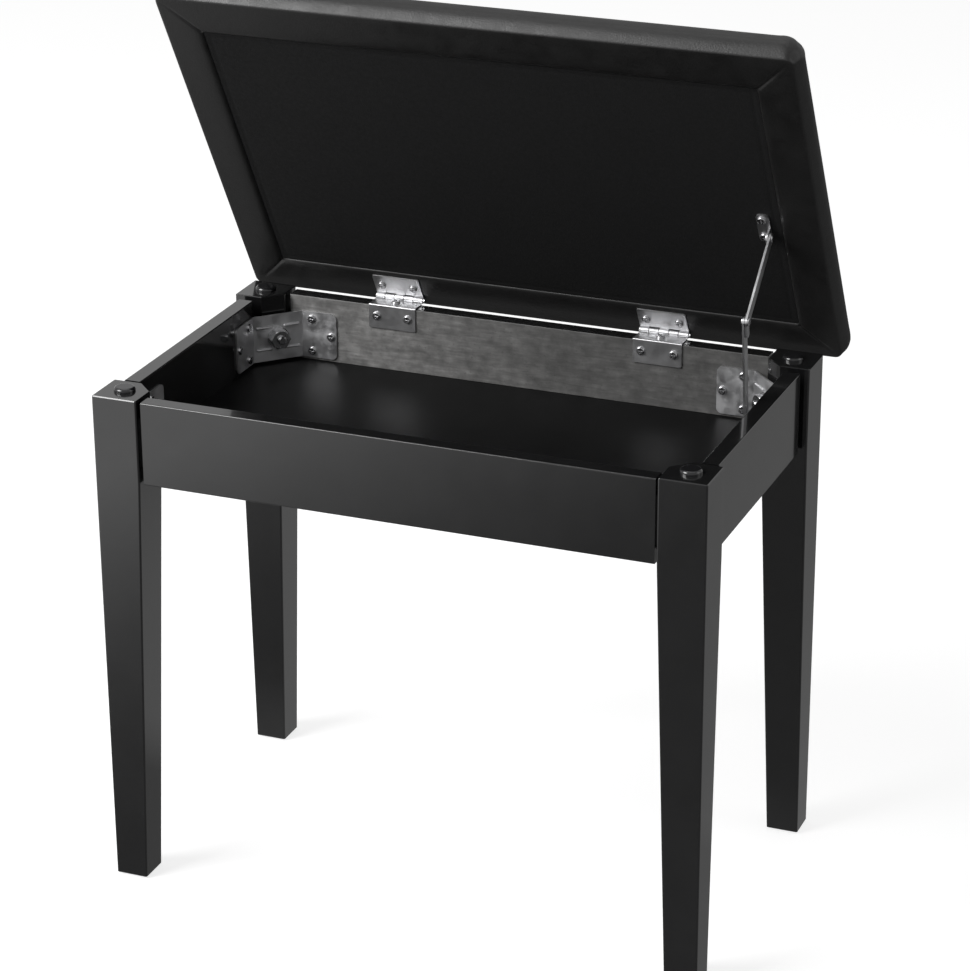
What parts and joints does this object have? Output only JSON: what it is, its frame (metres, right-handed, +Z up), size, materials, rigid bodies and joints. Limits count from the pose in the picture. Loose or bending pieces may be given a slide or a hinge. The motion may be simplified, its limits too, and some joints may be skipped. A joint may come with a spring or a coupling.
{
  "type": "piano bench",
  "caption": "Black lacquered piano bench with a padded lid that swings up on hinges over a shallow compartment for music, held open by a folding stay",
  "frame": {"origin": "Middle of the bench's bounding box on the floor, with the lid open as in the picture.", "axes": "+X along the bench to the sitter's right, +Y from the front rail to the hinged back rail, +Z up."},
  "size_m": [0.558, 0.3368, 0.7568],
  "materials": {
    "black_lacquer": "gloss",
    "floor_board": "gloss",
    "cover": "satin",
    "foam": "matte",
    "board": "matte",
    "dust_cloth": "matte",
    "zinc": "satin",
    "bumper": "matte",
    "glide": "matte"
  },
  "bodies": {
    "frame": {"bracket_back_left": "zinc", "bracket_back_right": "zinc", "bracket_front_left": "zinc", "bracket_front_right": "zinc", "bracket_nuts": "zinc", "bracket_screws": "zinc", "bracket_washers": "zinc", "bumper_back_left": "bumper", "bumper_back_right": "bumper", "bumper_front_left": "bumper", "bumper_front_right": "bumper", "floor_panel": "floor_board", "glide_back_left": "glide", "glide_back_right": "glide", "glide_front_left": "glide", "glide_front_right": "glide", "hanger_bolts": "zinc", "hinge_frame_leaf_left": "zinc", "hinge_frame_leaf_right": "zinc", "hinge_frame_screws": "zinc", "hinge_pin_left": "zinc", "hinge_pin_right": "zinc", "leg_back_left": "black_lacquer", "leg_back_right": "black_lacquer", "leg_front_left": "black_lacquer", "leg_front_right": "black_lacquer", "rail_back": "black_lacquer", "rail_front": "black_lacquer", "rail_left": "black_lacquer", "rail_right": "black_lacquer", "stay_rail_plate": "zinc", "stay_rail_screws": "zinc", "stay_rail_stud": "zinc"},
    "lid": {"cover_border": "cover", "dust_cover": "dust_cloth", "hinge_lid_leaf_left": "zinc", "hinge_lid_leaf_right": "zinc", "hinge_lid_screws": "zinc", "lid_board": "board", "seat_cover": "cover", "seat_foam": "foam", "stay_lid_bracket": "zinc", "stay_lid_rivet": "zinc", "stay_lid_screws": "zinc"},
    "stay_lower": {"stay_lower_link": "zinc", "stay_elbow_tail": "zinc"},
    "stay_upper": {"stay_upper_link": "zinc", "stay_elbow_head": "zinc"}
  },
  "joints": [
    {"name": "lid_hinge", "type": "hinge", "parent": "frame", "child": "lid", "pos_m": [-0.007, 0.14006, 0.445], "axis": [1, 0, 0], "range_deg": [0, 60]},
    {"name": "stay_rail_pivot", "type": "hinge", "parent": "frame", "child": "stay_lower", "pos_m": [0.228, 0.02157, 0.4165], "axis": [1, 0, 0], "range_deg": [-1, 81.47]},
    {"name": "stay_lid_pivot", "type": "hinge", "parent": "lid", "child": "stay_upper", "pos_m": [0.2301, 0.06787, 0.56544], "axis": [1, 0, 0], "range_deg": [-86.63, 1]}
  ],
  "couplings": [
    {"joint": "stay_rail_pivot", "follows": "lid_hinge", "ratio": 1.3412},
    {"joint": "stay_lid_pivot", "follows": "lid_hinge", "ratio": -1.4272}
  ]
}
